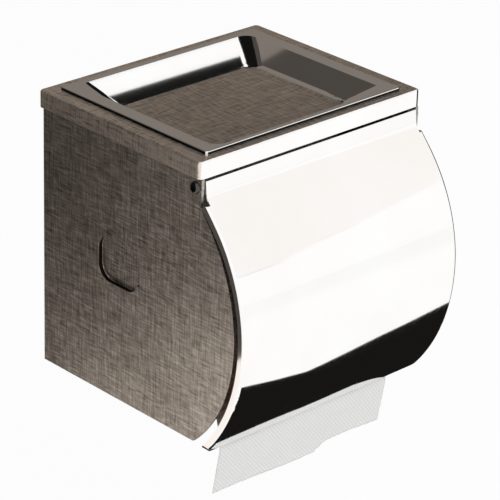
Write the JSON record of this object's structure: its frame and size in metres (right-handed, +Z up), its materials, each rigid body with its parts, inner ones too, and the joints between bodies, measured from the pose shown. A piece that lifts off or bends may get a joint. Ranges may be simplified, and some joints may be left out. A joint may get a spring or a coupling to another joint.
{
  "type": "covered toilet paper holder",
  "caption": "Wall-mounted sheet-steel toilet paper box with a curved swing-up cover, a lift-out tray on top and a sprung spindle.",
  "frame": {"origin": "centre of the four wall screw holes, on the wall plane", "axes": "+X to the right seen from the front, +Y back into the wall, +Z up"},
  "size_m": [0.1318, 0.133, 0.163],
  "materials": {
    "mirror_steel": "mirror polished",
    "linen_steel": "fine linen-rolled",
    "inner_steel": "plain mill",
    "screw_steel": "bright",
    "washer_nylon": "natural",
    "spindle_plastic": "moulded",
    "spring_steel": "drawn wire",
    "cardboard": "raw board",
    "paper": "soft tissue"
  },
  "bodies": {
    "housing": {"back_panel": "inner_steel", "side_panel_left": "linen_steel", "side_panel_right": "linen_steel", "top_cap": "linen_steel", "hinge_screw_left": "screw_steel", "hinge_screw_right": "screw_steel", "hinge_washer_left": "washer_nylon", "hinge_washer_right": "washer_nylon", "hinge_nut_left": "screw_steel", "hinge_nut_right": "screw_steel"},
    "cover": {"front_cover": "mirror_steel"},
    "tray": {"ash_tray": "mirror_steel"},
    "spindle": {"spindle_sleeve": "spindle_plastic", "spindle_spring": "spring_steel"},
    "plunger": {"spindle_plunger": "spindle_plastic"},
    "roll": {"paper_roll": "paper", "roll_core": "cardboard"},
    "tail": {"paper_tail": "paper"}
  },
  "joints": [
    {"name": "cover_hinge", "type": "hinge", "parent": "housing", "child": "cover", "pos_m": [0, -0.1016, 0.0528], "axis": [-1, 0, 0], "range_deg": [0, 80]},
    {"name": "tray_lift", "type": "slide", "parent": "housing", "child": "tray", "axis": [0, 0, 1], "range_m": [0, 0.03]},
    {"name": "spindle_turn", "type": "hinge", "parent": "housing", "child": "spindle", "pos_m": [0, -0.0527, 0], "axis": [1, 0, 0], "continuous": true},
    {"name": "plunger_press", "type": "slide", "parent": "spindle", "child": "plunger", "axis": [-1, 0, 0], "range_m": [0, 0.0045], "stiffness_N_per_m": 300, "springref_m": -0.01, "deforming": ["spindle_spring"]},
    {"name": "paper_pull", "type": "slide", "parent": "housing", "child": "tail", "axis": [0, 0, -1], "range_m": [0, 0.02]},
    {"name": "roll_spin", "type": "hinge", "parent": "housing", "child": "roll", "pos_m": [0, -0.0527, -0.0034], "axis": [1, 0, 0], "continuous": true}
  ],
  "couplings": [
    {"joint": "roll_spin", "follows": "paper_pull", "rad_per_m": 21.505}
  ]
}
